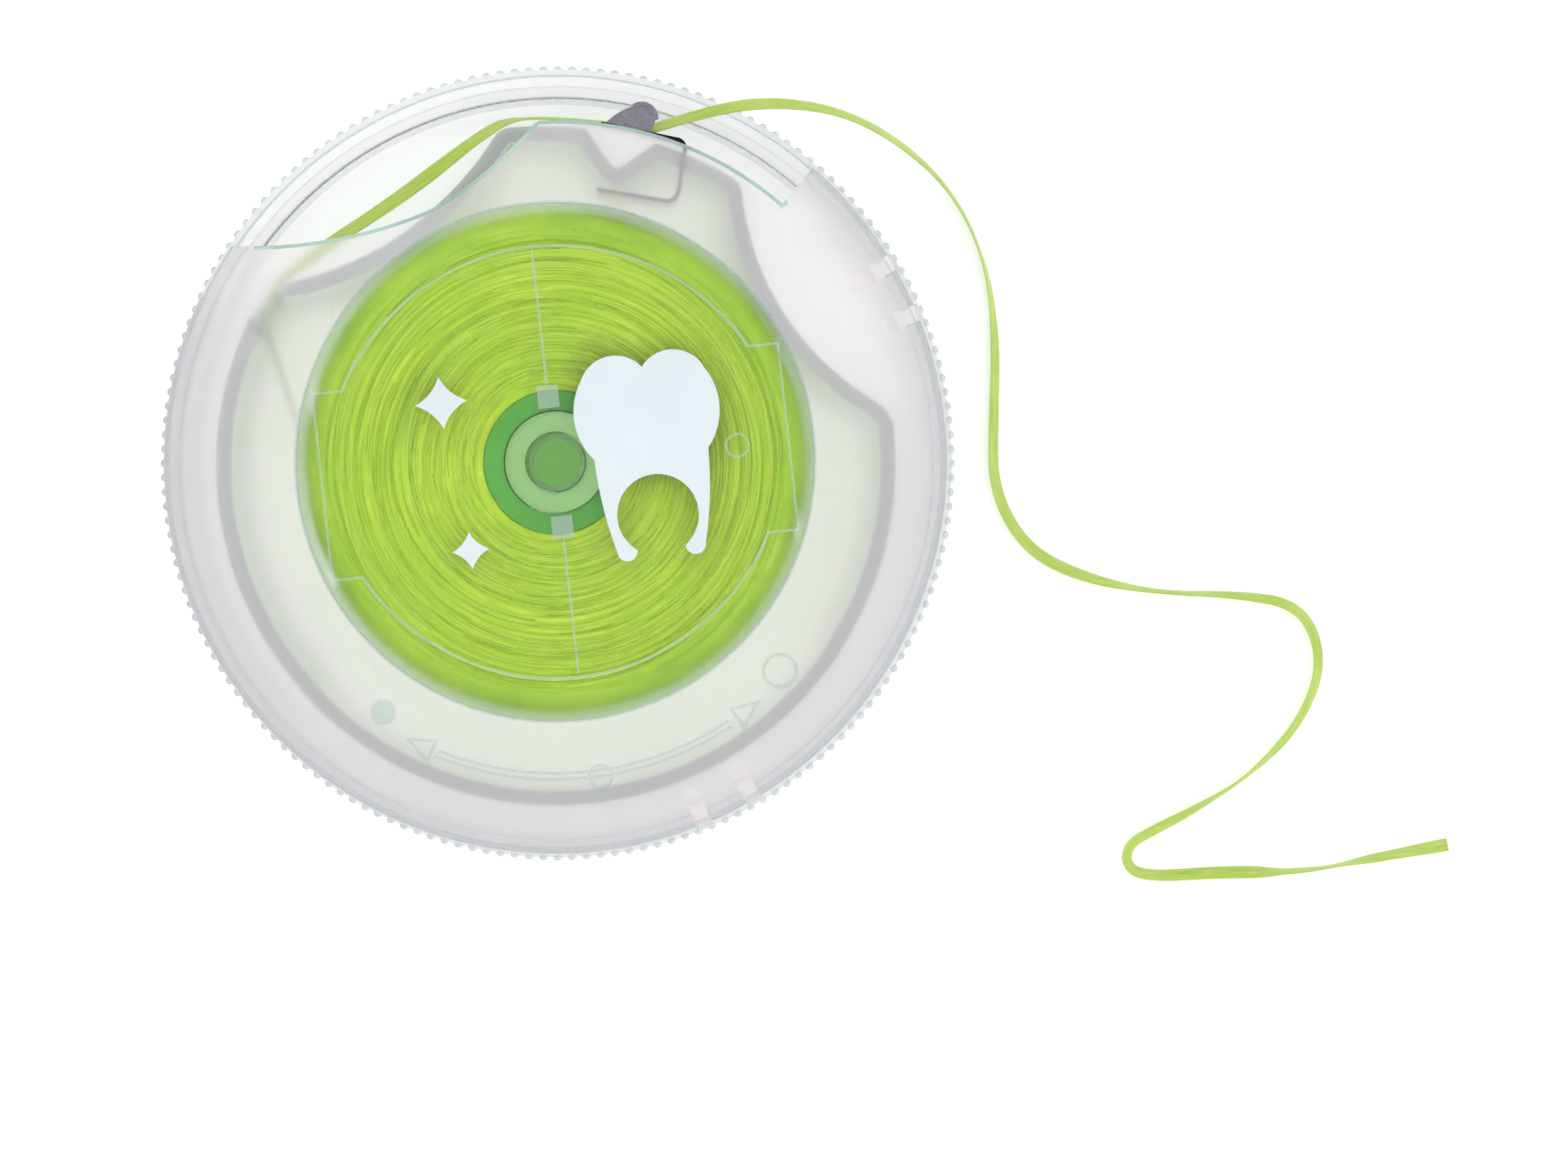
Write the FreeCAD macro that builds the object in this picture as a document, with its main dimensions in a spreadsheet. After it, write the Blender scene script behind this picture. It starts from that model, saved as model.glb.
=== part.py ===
import FreeCAD, Part
import math
import os
import Sketcher
from FreeCAD import Placement, Rotation, Vector

# A round dental floss dispenser, lying on its back. The base carries a knurled finger rim, a hub
# and an inner wall; the cover turns on the hub to open or close the mouth at the top (+Y) side.
# Millimetres, +Z up along the turning axis, origin at the centre of the underside.

driving_sizes = {
    "rim_radius": 30.0,
    "knurl_radius": 0.33,
    "knurl_depth": 0.25,
    "knurl_count": 172,
    "rim_height": 5.5,
    "rim_wall": 1.2,
    "ledge_thickness": 1.2,
    "edge_break": 0.4,
    "snap_radius": 27.66,
    "snap_wall": 0.45,
    "snap_top": 6.5,
    "floor_thickness": 1.2,
    "step_radius": 25.8,
    "step_rise": 0.3,
    "hub_radius": 3.8,
    "hub_bore": 2.28,
    "hub_top": 13.3,
    "hub_bottom": 3.0,
    "shoulder_radius": 5.0,
    "shoulder_top": 1.75,
    "total_height": 15.0,
    "plate_thickness": 1.2,
    "skirt_radius": 29.7,
    "skirt_top_radius": 29.25,
    "skirt_inner_radius": 28.2,
    "skirt_gap": 0.3,
    "cover_round": 0.7,
    "pin_radius": 2.2,
    "pin_bottom": 3.5,
    "ring_line_radius": 19.4,
    "relief": 0.07,
    "slot_width": 1.25,
    "slot_top": 14.2,
    "tape_relief_top": 10.0,
    "wall_radius": 25.5,
    "wall_thickness": 1.1,
    "wall_top": 12.3,
    "core_radius": 5.35,
    "core_bore": 3.88,
    "core_bottom": 1.8,
    "core_top": 13.1,
    "winding_radius": 18.75,
    "winding_bottom": 2.3,
    "winding_top": 13.0,
    "winding_round": 1.3,
    "tape_width": 1.1,
    "feed_width": 0.8,
    "clip_sheet": 0.3,
    "clip_bottom": 8.95,
    "clip_top": 12.9,
    "print_film": 0.05,
}

doc = FreeCAD.newDocument("FlossDispenser")
sheet = doc.addObject("Spreadsheet::Sheet", "Sizes")
for row, (alias, number) in enumerate(driving_sizes.items(), 1):
    sheet.set(f"A{row}", alias)
    sheet.set(f"B{row}", str(number))
    sheet.setAlias(f"B{row}", alias)
doc.recompute()


def size(alias):
    return float(sheet.get(alias))


def cell(expression):
    """Puts the sheet's name before every alias in an expression."""
    words = expression.split(" ")
    return " ".join("Sizes." + word if word in driving_sizes else word for word in words)


def polar(radius, degrees, height=0.0):
    angle = math.radians(degrees)
    return Vector(radius * math.cos(angle), radius * math.sin(angle), height)


def new_body(label):
    body = doc.addObject("PartDesign::Body", label)
    body.Label = label
    return body


def new_sketch(body, name, role="XY_Plane"):
    sketch = body.newObject("Sketcher::SketchObject", name)
    plane = next(feature for feature in body.Origin.OriginFeatures if feature.Role == role)
    sketch.AttachmentSupport = [(plane, "")]
    sketch.MapMode = "FlatFace"
    return sketch


def bound(sketch, constraint, expression):
    index = sketch.addConstraint(constraint)
    sketch.setExpression(f"Constraints[{index}]", cell(expression))


def turned_profile(label, corners):
    """A body turned about Z from (radius, height) corners, each an expression of sheet cells."""
    body = new_body(label)
    sketch = new_sketch(body, label + "_profile", "XZ_Plane")
    count = len(corners)
    start = [Vector(10 + 8 * math.cos(i), 10 + 8 * math.sin(i), 0) for i in range(count)]
    for i in range(count):
        sketch.addGeometry(Part.LineSegment(start[i], start[(i + 1) % count]), False)
    for i in range(count):
        sketch.addConstraint(Sketcher.Constraint("Coincident", i, 2, (i + 1) % count, 1))
    for i, (radius, height) in enumerate(corners):
        bound(sketch, Sketcher.Constraint("DistanceX", -1, 1, i, 1, start[i].x), radius)
        bound(sketch, Sketcher.Constraint("DistanceY", -1, 1, i, 1, start[i].y), height)
    turn = body.newObject("PartDesign::Revolution", label + "_turned")
    turn.Profile = sketch
    turn.ReferenceAxis = (sketch, ["V_Axis"])
    turn.Angle = 360
    doc.recompute()
    return body


def round_edges(body, name, radius, lowest, expression):
    """Rounds the level circles of the given radius that lie at or above the lowest height."""
    turned = body.Tip
    found = [
        f"Edge{i}"
        for i, edge in enumerate(turned.Shape.Edges, 1)
        if isinstance(edge.Curve, Part.Circle)
        and abs(edge.Curve.Radius - size(radius)) < 1e-6
        and edge.Curve.Center.z > lowest - 1e-6
        and edge.Closed
    ]
    fillet = body.newObject("PartDesign::Fillet", name)
    fillet.Base = (turned, found)
    fillet.setExpression("Radius", cell(expression))
    doc.recompute()


def add_circle(sketch, centre, expression):
    radius = size("rim_radius") / 10
    index = sketch.addGeometry(Part.Circle(centre, Vector(0, 0, 1), radius), False)
    bound(sketch, Sketcher.Constraint("Radius", index, radius), expression)


def add_loop(sketch, steps):
    """A closed loop from steps, each (end point,) for a line or (through point, end point) for an arc."""
    here = steps[-1][-1]
    for step in steps:
        if len(step) == 1:
            sketch.addGeometry(Part.LineSegment(here, step[0]), False)
        else:
            sketch.addGeometry(Part.Arc(here, step[0], step[1]), False)
        here = step[-1]


def ring_sector(inner, outer, first, last):
    middle = (first + last) / 2
    return [
        (polar(outer, first),),
        (polar(outer, middle), polar(outer, last)),
        (polar(inner, last),),
        (polar(inner, middle), polar(inner, first)),
    ]


def cut_up(body, name, sketch, expression):
    """Cuts the sketch upwards from the underside's plane, to the height that the expression gives."""
    before = body.Tip.Shape.Volume
    pocket = body.newObject("PartDesign::Pocket", name)
    pocket.Profile = sketch
    pocket.Reversed = True
    pocket.setExpression("Length", cell(expression))
    doc.recompute()
    if pocket.Shape.Volume > before - 0.01:
        raise RuntimeError(f"{name} removed nothing")
    return pocket


def raise_from(body, name, sketch, base, height):
    """Pads the sketch from the height base by the expression height."""
    sketch.setExpression("AttachmentOffset.Base.z", cell(base))
    pad = body.newObject("PartDesign::Pad", name)
    pad.Profile = sketch
    pad.setExpression("Length", cell(height))
    doc.recompute()
    return pad


# ---- base shell: floor, cored rim, snap wall and hub tube in one moulding

def make_base():
    body = turned_profile(
        "base_shell",
        [
            ("0", "0"),
            ("snap_radius - edge_break", "0"),
            ("snap_radius", "edge_break"),
            ("snap_radius", "rim_height - ledge_thickness"),
            ("rim_radius - rim_wall - knurl_depth", "rim_height - ledge_thickness"),
            ("rim_radius - rim_wall - knurl_depth", "0"),
            ("rim_radius - knurl_depth - edge_break", "0"),
            ("rim_radius - knurl_depth", "edge_break"),
            ("rim_radius - knurl_depth", "rim_height - edge_break"),
            ("rim_radius - knurl_depth - edge_break", "rim_height"),
            ("snap_radius", "rim_height"),
            ("snap_radius", "snap_top"),
            ("snap_radius - snap_wall", "snap_top"),
            ("snap_radius - snap_wall", "floor_thickness + step_rise"),
            ("step_radius", "floor_thickness + step_rise"),
            ("step_radius", "floor_thickness"),
            ("shoulder_radius", "floor_thickness"),
            ("shoulder_radius", "shoulder_top"),
            ("hub_radius", "shoulder_top"),
            ("hub_radius", "hub_top"),
            ("hub_bore", "hub_top"),
            ("hub_bore", "hub_bottom"),
            ("0", "hub_bottom"),
        ],
    )
    sketch = new_sketch(body, "knurl_section")
    centre = Vector(size("rim_radius") - size("knurl_radius"), 0, 0)
    add_circle(sketch, centre, "knurl_radius")
    knurl = raise_from(body, "knurl", sketch, "edge_break", "rim_height - edge_break - edge_break")
    pattern = body.newObject("PartDesign::PolarPattern", "knurls")
    pattern.Originals = [knurl]
    pattern.Axis = (sketch, ["N_Axis"])
    pattern.Angle = 360
    pattern.setExpression("Occurrences", cell("knurl_count"))
    body.Tip = pattern
    doc.recompute()
    return body


# ---- inner wall: a bell-shaped ring with a V at its crown, where the cutter clip sits

def make_insert():
    radius = size("wall_radius")
    lowest = Vector(0, -0.2 - radius, 0)
    right_foot = Vector(25.4, 2.0, 0)
    left_foot = Vector(-23.2, 10.38, 0)
    left_shoulder = Vector(-19.9, 13.55, 0)
    right_shoulder = Vector(24.2, 4.45, 0)
    sketch = doc.addObject("Sketcher::SketchObject", "wall_outside")
    add_loop(
        sketch,
        [
            (lowest, left_foot),
            (Vector(-22.05, 12.45, 0), left_shoulder),
            (Vector(-11.13, 17.5, 0), Vector(-4.6, 24.4, 0)),
            (Vector(-4.05, 24.9, 0), Vector(-3.1, 25.1, 0)),
            (Vector(-0.4, 25.2, 0), Vector(2.25, 25.0, 0)),
            (Vector(4.1, 22.45, 0),),
            (Vector(4.45, 22.2, 0), Vector(4.9, 22.25, 0)),
            (Vector(7.5, 23.9, 0),),
            (Vector(10.55, 22.75, 0), Vector(13.1, 21.4, 0)),
            (Vector(13.75, 20.8, 0), Vector(14.0, 19.9, 0)),
            (Vector(17.39, 11.05, 0), right_shoulder),
            (Vector(25.1, 3.45, 0), right_foot),
        ],
    )
    sketch.setExpression("Placement.Base.z", cell("floor_thickness"))
    band = doc.addObject("Part::Offset2D", "wall_band")
    band.Source = sketch
    band.Fill = True
    band.setExpression("Value", cell("0 - wall_thickness"))
    wall = doc.addObject("Part::Extrusion", "wall")
    wall.Base = band
    wall.DirMode = "Custom"
    wall.Dir = Vector(0, 0, 1)
    wall.Solid = True
    wall.setExpression("LengthFwd", cell("wall_top - floor_thickness"))
    # open-topped slit at the left corner, through which the tape leaves the chamber
    slit = doc.addObject("Part::Box", "guide_slit")
    slit.Length = 1.8
    slit.Width = 4.5
    slit.setExpression("Height", cell("wall_top"))
    slit.Placement = Placement(Vector(-22.36, 7.81, 6.4), Rotation(Vector(0, 0, 1), 12.5))
    corner = doc.addObject("Part::Cylinder", "guide_corner")
    corner.Radius = 1.25
    corner.setExpression("Height", cell("wall_top"))
    corner.Placement = Placement(Vector(-21.8, 12.34, 6.4), Rotation())
    outlet = doc.addObject("Part::Box", "guide_outlet")
    outlet.Length = 6.0
    outlet.Width = 1.8
    outlet.setExpression("Height", cell("wall_top"))
    outlet.Placement = Placement(Vector(-22.66, 11.48, 6.4), Rotation(Vector(0, 0, 1), 37))
    guides = doc.addObject("Part::MultiFuse", "guide_space")
    guides.Shapes = [slit, corner, outlet]
    insert = doc.addObject("Part::Cut", "chamber_insert")
    insert.Base = wall
    insert.Tool = guides
    insert.Label = "chamber_insert"
    doc.recompute()
    return insert


# ---- front cover: plate, skirt and hub pin, with the mouth window cut out of plate and skirt

mark_tilt = 6.3
latch_angles = (26.6, -63.6)
latch_slits = ((4.1, 25.7), (-4.1, 26.4))


def window_loop():
    return [
        (Vector(22.84, 26.15, 0),),
        (polar(36, 95), Vector(-27.0, 16.3, 0)),
        (Vector(-24.3, 16.15, 0),),
        (Vector(-16.85, 16.64, 0), Vector(-9.36, 18.85, 0)),
        (Vector(-5.25, 21.7, 0), Vector(-1.65, 25.2, 0)),
        (Vector(-1.25, 25.5, 0),),
        (Vector(9.0, 24.0, 0), Vector(16.97, 19.32, 0)),
    ]


def panel_loop(grow):
    """Outline of the shallow print panel: two flat arcs with a wider straight-sided tab each side."""
    top, side, tab, half_tab = 16.15 + grow, 15.27 + grow, 17.5 + grow, 7.0 + grow
    corners = [
        Vector(side, half_tab, 0),
        Vector(0, top, 0),
        Vector(-side, half_tab, 0),
        Vector(-tab, half_tab, 0),
        Vector(-tab, -half_tab, 0),
        Vector(-side, -half_tab, 0),
        Vector(0, -top, 0),
        Vector(side, -half_tab, 0),
        Vector(tab, -half_tab, 0),
        Vector(tab, half_tab, 0),
    ]
    turned = [turned_by(corner, mark_tilt) for corner in corners]
    return [
        (turned[0],),
        (turned[1], turned[2]),
        (turned[3],),
        (turned[4],),
        (turned[5],),
        (turned[6], turned[7]),
        (turned[8],),
        (turned[9],),
    ]


def turned_by(point, degrees):
    return Rotation(Vector(0, 0, 1), degrees).multVec(point)


def polygon(points):
    return [(point,) for point in points]


def box_loop(centre, half_width, half_height, degrees):
    corners = [(-1, -1), (1, -1), (1, 1), (-1, 1)]
    return polygon(
        [
            turned_by(centre + Vector(x * half_width, y * half_height, 0), degrees)
            for x, y in corners
        ]
    )


def arrow_head(tip_angle, back_angle, radius, half_width):
    """Corners of an arrow head on a circle about the axis: its tip, and its two barbs."""
    return [
        polar(radius, tip_angle),
        polar(radius + half_width, back_angle),
        polar(radius - half_width, back_angle),
    ]


def make_cover():
    body = turned_profile(
        "front_cover",
        [
            ("0", "pin_bottom"),
            ("pin_radius - edge_break", "pin_bottom"),
            ("pin_radius", "pin_bottom + edge_break"),
            ("pin_radius", "total_height - plate_thickness"),
            ("skirt_inner_radius", "total_height - plate_thickness"),
            ("skirt_inner_radius", "rim_height + skirt_gap"),
            ("skirt_radius", "rim_height + skirt_gap"),
            ("skirt_top_radius", "total_height"),
            ("ring_line_radius + relief + relief", "total_height"),
            ("ring_line_radius", "total_height - relief"),
            ("ring_line_radius - relief - relief", "total_height"),
            ("0", "total_height"),
        ],
    )
    round_edges(body, "front_edge", "skirt_top_radius", size("total_height"), "cover_round")

    window = new_sketch(body, "window_outline")
    add_loop(window, window_loop())
    cut_up(body, "window", window, "total_height + relief")

    # slits either side of the latch tongues, open below and covered by the plate above
    slits = new_sketch(body, "latch_slits")
    half = size("slot_width") / 2
    for middle in latch_angles:
        for side, inner in latch_slits:
            along = polar(1, middle + side)
            across = polar(1, middle + side + 90)
            start = along * (inner + half)
            end = along * (size("rim_radius") + 1)
            add_loop(
                slits,
                [
                    (end - across * half,),
                    (end + across * half,),
                    (start + across * half,),
                    (along * inner, start - across * half),
                ],
            )
    cut_up(body, "latch_slit_cuts", slits, "slot_top")

    # low passage in the leading end of the skirt, so that the closing cover clears the tape
    passage = new_sketch(body, "tape_passage_outline")
    add_loop(passage, ring_sector(size("snap_radius"), size("rim_radius") + 1, 143.0, 154.8))
    cut_up(body, "tape_passage", passage, "tape_relief_top")

    # fine raised lines on the plate: print panel, parting line, pips, two ring marks,
    # and the turning arrow between a dot (closed) and a ring (open)
    lines = new_sketch(body, "raised_lines")
    line = 0.09
    add_loop(lines, panel_loop(line))
    add_loop(lines, panel_loop(-line))
    for side in (1, -1):
        add_loop(lines, box_loop(Vector(0, side * 10.9, 0), line, 5.05, mark_tilt))
        add_loop(lines, box_loop(Vector(0, side * 4.9, 0), 0.8, 0.85, mark_tilt))
    arrow = 23.5
    for radius in (arrow - 0.22, arrow + 0.22):
        add_loop(lines, ring_sector(radius - line, radius + line, -112.0, -56.3))
    for tip, back in ((-118.4, -112.9), (-49.3, -54.8)):
        outer = arrow_head(tip, back, arrow, 0.95)
        middle = (outer[0] + outer[1] + outer[2]) / 3
        add_loop(lines, polygon(outer))
        add_loop(lines, polygon([middle + (corner - middle) * 0.7 for corner in outer]))
    opened = Vector(16.8, -15.6, 0)
    closed = Vector(-12.85, -18.7, 0)
    for centre, radius in ((opened, 1.35), (opened, 1.1), (closed, 0.95)):
        lines.addGeometry(Part.Circle(centre, Vector(0, 0, 1), radius), False)
    raise_from(body, "raised_marks", lines, "total_height - relief", "relief + relief")

    # two round gate marks, one of them lying across the arrow
    gates = new_sketch(body, "gate_rings")
    for centre in (Vector(13.6, 1.24, 0), Vector(3.4, -23.5, 0)):
        for change in (line, -line):
            gates.addGeometry(Part.Circle(centre, Vector(0, 0, 1), 0.85 + change), False)
    raise_from(body, "gate_marks", gates, "total_height - relief", "relief + relief")

    # shallow ejector pin marks on the inner face of the plate
    marks = new_sketch(body, "ejector_marks")
    for spot, radius in (
        (Vector(16.55, 16.58, 0), 2.2),
        (Vector(-15.7, -16.5, 0), 2.4),
        (Vector(19.1, -12.3, 0), 2.4),
        (Vector(-18.9, 11.1, 0), 2.2),
    ):
        marks.addGeometry(Part.Circle(spot, Vector(0, 0, 1), radius), False)
    marks.setExpression("AttachmentOffset.Base.z", cell("total_height - plate_thickness"))
    pocket = body.newObject("PartDesign::Pocket", "ejector_pockets")
    pocket.Profile = marks
    pocket.Reversed = True
    pocket.setExpression("Length", cell("relief + relief"))
    doc.recompute()
    return body


# ---- spool: core ring turning on the hub, and the floss wound on it

def make_core():
    return turned_profile(
        "spool_core",
        [
            ("core_bore", "core_bottom"),
            ("core_radius", "core_bottom"),
            ("core_radius", "core_top"),
            ("core_bore", "core_top"),
        ],
    )


def make_winding():
    body = turned_profile(
        "floss_winding",
        [
            ("core_radius", "winding_bottom"),
            ("winding_radius", "winding_bottom"),
            ("winding_radius", "winding_top"),
            ("core_radius", "winding_top"),
        ],
    )
    round_edges(body, "rolled_edges", "winding_radius", 0, "winding_round")
    return body


# ---- cutter clip: a bent strip round the V of the wall, with a flat tooth and its curled lip

def sheet_strip(name, steps, start, bottom, height):
    """A strip of sheet metal standing on its edge along an open path of lines and arcs."""
    here = start
    edges = []
    for step in steps:
        curve = Part.LineSegment(here, step[0]) if len(step) == 1 else Part.Arc(here, *step)
        edges.append(curve.toShape())
        here = step[-1]
    path = doc.addObject("Part::Feature", name + "_path")
    path.Shape = Part.Wire(edges)
    path.Placement = Placement(Vector(0, 0, bottom), Rotation())
    band = doc.addObject("Part::Offset2D", name + "_band")
    band.Source = path
    band.Fill = True
    band.setExpression("Value", cell("clip_sheet / 2"))
    strip = doc.addObject("Part::Extrusion", name)
    strip.Base = band
    strip.DirMode = "Custom"
    strip.Dir = Vector(0, 0, 1)
    strip.Solid = True
    strip.LengthFwd = height
    return strip


def make_clip():
    bottom = size("clip_bottom")
    legs = sheet_strip(
        "clip_legs",
        [
            (Vector(8.3, 19.65, 0),),
            (Vector(9.0, 19.9, 0), Vector(9.25, 20.5, 0)),
            (Vector(9.65, 23.3, 0),),
            (Vector(9.5, 23.95, 0), Vector(8.95, 24.2, 0)),
            (Vector(3.5, 25.35, 0),),
        ],
        Vector(3.2, 20.5, 0),
        bottom,
        size("clip_top") - bottom,
    )
    tooth_face = doc.addObject("Sketcher::SketchObject", "tooth_outline")
    add_loop(
        tooth_face,
        [
            (Vector(4.85, 26.45, 0), Vector(5.85, 26.85, 0)),
            (Vector(7.2, 26.65, 0), Vector(7.5, 25.9, 0)),
            (Vector(6.9, 24.65, 0),),
            (Vector(3.5, 25.35, 0),),
        ],
    )
    tooth_face.setExpression("Placement.Base.z", cell("clip_bottom"))
    tooth = doc.addObject("Part::Extrusion", "tooth")
    tooth.Base = tooth_face
    tooth.DirMode = "Custom"
    tooth.Dir = Vector(0, 0, 1)
    tooth.Solid = True
    tooth.setExpression("LengthFwd", cell("clip_sheet"))
    lip = sheet_strip(
        "tooth_lip",
        [(Vector(7.2, 26.65, 0), Vector(7.5, 25.9, 0))],
        Vector(5.85, 26.85, 0),
        bottom,
        0.9,
    )
    clip = doc.addObject("Part::MultiFuse", "cutter_clip")
    clip.Shapes = [legs, tooth, lip]
    clip.Label = "cutter_clip"
    doc.recompute()
    return clip


# ---- printed pictogram: a tooth with two sparkles, as a thin film on the plate

def tooth_loop(centre, scale):
    half = [
        (Vector(2.6, 8.0, 0), Vector(4.9, 6.3, 0)),
        (Vector(5.75, 3.2, 0), Vector(4.5, 0.0, 0)),
        (Vector(4.2, -3.9, 0), Vector(3.5, -7.4, 0)),
        (Vector(2.7, -8.2, 0), Vector(1.9, -7.4, 0)),
    ]
    steps = list(half)
    steps.append((Vector(0, -1.6, 0), Vector(-1.9, -7.4, 0)))
    ends = [Vector(0, 6.9, 0)] + [step[1] for step in half]
    for i in range(len(half) - 1, -1, -1):
        through = half[i][0]
        steps.append((Vector(-through.x, through.y, 0), Vector(-ends[i].x, ends[i].y, 0)))
    return [
        tuple(turned_by(centre + point * scale, mark_tilt) for point in step) for step in steps
    ]


def sparkle_loop(centre, reach):
    waist = 0.17 * reach
    steps = []
    for quarter in range(4):
        through = turned_by(Vector(waist, waist, 0), -90 * quarter)
        end = turned_by(Vector(reach, 0, 0), -90 * quarter)
        steps.append((through, end))
    return [
        tuple(turned_by(centre + point, mark_tilt) for point in step) for step in steps
    ]


def make_print():
    sketch = doc.addObject("Sketcher::SketchObject", "pictogram")
    add_loop(sketch, tooth_loop(Vector(7.2, -0.2, 0), 0.95))
    add_loop(sketch, sparkle_loop(Vector(-8.0, 5.3, 0), 4.6))
    add_loop(sketch, sparkle_loop(Vector(-7.0, -5.9, 0), 3.3))
    sketch.setExpression("Placement.Base.z", cell("total_height"))
    film = doc.addObject("Part::Extrusion", "cover_print")
    film.Base = sketch
    film.DirMode = "Custom"
    film.Dir = Vector(0, 0, 1)
    film.Solid = True
    film.setExpression("LengthFwd", cell("print_film"))
    film.Label = "cover_print"
    doc.recompute()
    return film


# ---- floss: runs of tape as round tubes of straight runs joined by tangent arcs

def bent_tube(label, points, diameter):
    edges = []
    radii = []
    here = points[0]
    length = 0.0
    for before, corner, after in zip(points, points[1:], points[2:]):
        coming = (corner - before).normalize()
        going = (after - corner).normalize()
        half_turn = coming.getAngle(going) / 2
        reach = 0.45 * min((corner - before).Length, (after - corner).Length)
        radius = reach / math.tan(half_turn)
        inwards = (going - coming).normalize()
        first = corner - coming * reach
        last = corner + going * reach
        middle = corner + inwards * (radius / math.cos(half_turn) - radius)
        edges.append(Part.LineSegment(here, first).toShape())
        edges.append(Part.Arc(first, middle, last).toShape())
        here = last
        radii.append(radius)
    edges.append(Part.LineSegment(here, points[-1]).toShape())
    path = Part.Wire(edges)
    length = path.Length
    start = (points[1] - points[0]).normalize()
    ring = Part.Wire([Part.makeCircle(diameter / 2, points[0], start)])
    solid = path.makePipeShell([ring], True, True)
    tube = doc.addObject("Part::Feature", label)
    tube.Shape = solid
    tube.Label = label
    ideal = math.pi * diameter**2 / 4 * length
    print(f"{label}: length {length:.1f}, radii " + " ".join(f"{r:.1f}" for r in radii))
    print(f"{label}: volume {solid.Volume:.2f}, section times length {ideal:.2f}")
    if abs(solid.Volume - ideal) > 0.02 * ideal:
        raise RuntimeError(f"{label} has the wrong volume")
    return tube


floor_level = size("tape_width") / 2
mouth_exit = Vector(7.0, 25.1, 8.3)

feed_route = [
    Vector(-19.3, 0.4, 7.6),
    Vector(-21.1, 6.3, 7.6),
    Vector(-22.5, 12.6, 7.7),
    Vector(-18.0, 16.0, 7.8),
    Vector(-11.6, 20.1, 7.8),
    Vector(-5.4, 25.0, 7.9),
    Vector(-3.1, 26.0, 7.9),
    Vector(1.0, 25.9, 8.1),
    mouth_exit,
]

strand_route = [
    mouth_exit,
    Vector(10.4, 26.2, 8.5),
    Vector(15.4, 27.2, 9.0),
    Vector(21.2, 26.7, 6.6),
    Vector(26.2, 24.2, 2.8),
    Vector(30.3, 20.2, floor_level),
    Vector(32.6, 14.8, floor_level),
    Vector(33.2, 9.0, floor_level),
    Vector(33.0, 3.0, floor_level),
    Vector(33.0, -2.0, floor_level),
    Vector(35.4, -6.4, floor_level),
    Vector(39.6, -8.6, floor_level),
    Vector(45.4, -9.8, floor_level),
    Vector(51.4, -9.9, floor_level),
    Vector(56.4, -10.7, floor_level),
    Vector(58.1, -14.9, floor_level),
    Vector(56.4, -19.6, floor_level),
    Vector(52.5, -23.7, floor_level),
    Vector(48.0, -26.4, floor_level),
    Vector(45.2, -27.8, floor_level),
    Vector(43.4, -28.8, floor_level),
    Vector(43.0, -30.1, floor_level),
    Vector(43.8, -31.1, floor_level),
    Vector(46.0, -31.3, floor_level),
    Vector(50.0, -31.0, floor_level),
    Vector(56.5, -31.0, floor_level),
    Vector(62.0, -29.9, floor_level),
    Vector(67.5, -28.9, floor_level),
]


parts = [
    make_base(),
    make_insert(),
    make_cover(),
    make_core(),
    make_winding(),
    make_clip(),
    make_print(),
    bent_tube("floss_feed", feed_route, size("feed_width")),
    bent_tube("floss_strand", strand_route, size("tape_width")),
]

doc.recompute()
for item in doc.Objects:
    if {"Invalid", "Error"} & set(item.State):
        raise RuntimeError(f"{item.Name} failed: {item.State}")
for part in parts:
    if part.Shape.isNull() or not part.Shape.isValid() or part.Shape.Volume <= 0:
        raise RuntimeError(f"{part.Label} has no valid solid")

os.makedirs("parts", exist_ok=True)
for part in parts:
    part.Shape.exportStep(f"parts/{part.Label}.step")
    print(f"{part.Label}: {len(part.Shape.Solids)} solid, volume {part.Shape.Volume:.1f}")
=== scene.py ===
import bpy
import bmesh
import math
import random
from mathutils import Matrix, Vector


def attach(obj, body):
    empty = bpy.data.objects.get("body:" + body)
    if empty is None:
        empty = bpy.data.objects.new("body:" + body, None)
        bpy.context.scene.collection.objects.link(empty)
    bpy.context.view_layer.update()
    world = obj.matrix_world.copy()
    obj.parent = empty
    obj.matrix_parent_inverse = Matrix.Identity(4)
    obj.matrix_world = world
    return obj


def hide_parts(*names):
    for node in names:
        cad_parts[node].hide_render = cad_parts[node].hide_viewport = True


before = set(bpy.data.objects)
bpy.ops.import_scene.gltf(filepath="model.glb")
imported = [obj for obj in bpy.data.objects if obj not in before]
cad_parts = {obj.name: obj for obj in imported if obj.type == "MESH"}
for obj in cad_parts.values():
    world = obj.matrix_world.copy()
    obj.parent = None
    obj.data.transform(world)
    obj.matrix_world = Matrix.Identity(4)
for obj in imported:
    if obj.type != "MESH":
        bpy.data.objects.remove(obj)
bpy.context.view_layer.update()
mm = 0.001


def fromMm(x, y, z):
    return Vector((x, y, z)) * mm


cameraSetup = {
    "over": fromMm(17.09, -9.42, 885),
    "viewWidth": 118.48 * mm,      # what the frame takes in, at rim height
    "rimHeight": 5 * mm,
    "sensor": 36.0,
}


def placeCamera(setup):
    data = bpy.data.cameras.new("overheadCamera")
    data.sensor_fit = "HORIZONTAL"
    data.sensor_width = setup["sensor"]
    distance = setup["over"].z - setup["rimHeight"]
    data.lens = setup["sensor"] * distance / setup["viewWidth"]
    data.clip_start, data.clip_end = 0.01, 20
    camera = bpy.data.objects.new("overheadCamera", data)
    camera.location = setup["over"]
    bpy.context.collection.objects.link(camera)
    bpy.context.scene.camera = camera


placeCamera(cameraSetup)
print("camera placed")

lighting = {
    "skyColour": (1.0, 1.0, 1.0, 1.0),
    "skyStrength": 1.0,
    "keyAt": (0.45, -0.50, 0.75),
    "keySize": 1.0,
    "keyPower": 1.5,
}


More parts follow.
